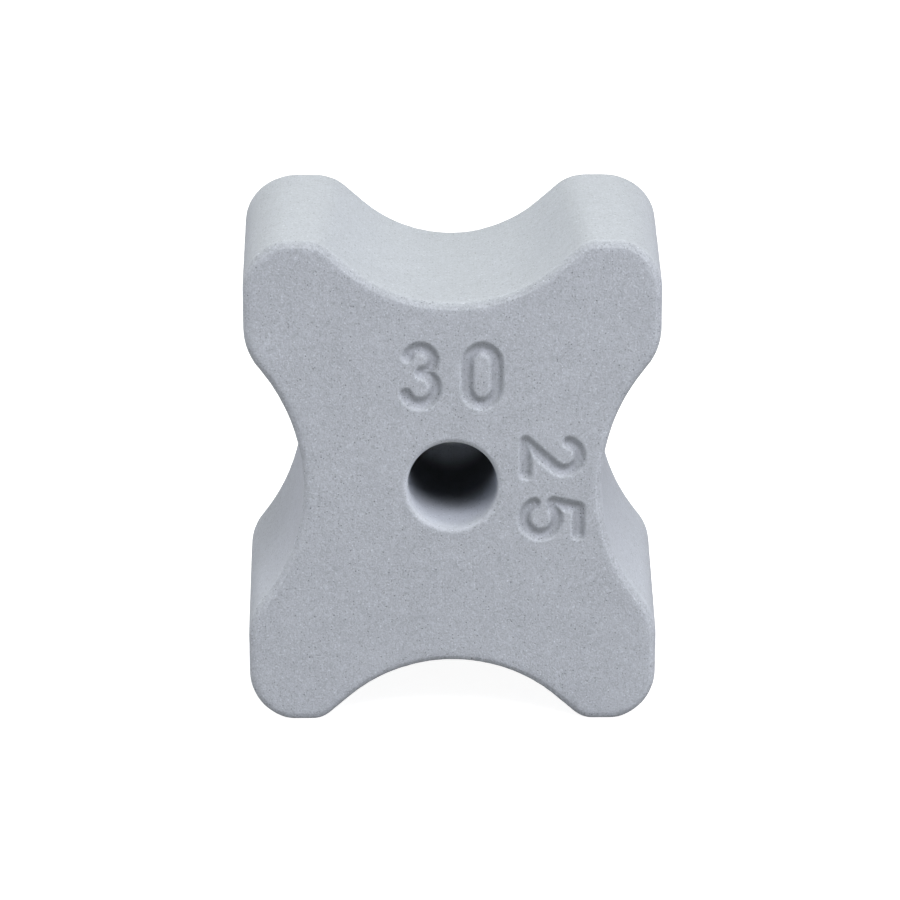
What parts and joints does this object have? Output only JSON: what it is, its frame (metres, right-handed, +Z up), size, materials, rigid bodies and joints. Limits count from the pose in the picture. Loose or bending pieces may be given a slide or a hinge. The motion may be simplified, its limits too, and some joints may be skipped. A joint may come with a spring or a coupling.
{
  "type": "rebar chair",
  "caption": "Cast concrete cover block with rounded lobes, a concave bar seat on each side and a through bore, holding a reinforcing bar clear of the formwork.",
  "frame": {"origin": "middle of the standing footprint, level with the soles of the lower feet", "axes": "+X across the block, +Y from the figured face to the back along the bore, +Z up, with the block standing at its higher cover"},
  "size_m": [0.0296, 0.02, 0.0343],
  "materials": {
    "concrete": "matte, fine sandy face and smoother sides"
  },
  "bodies": {
    "root": {"spacer_block": "concrete"}
  },
  "joints": []
}
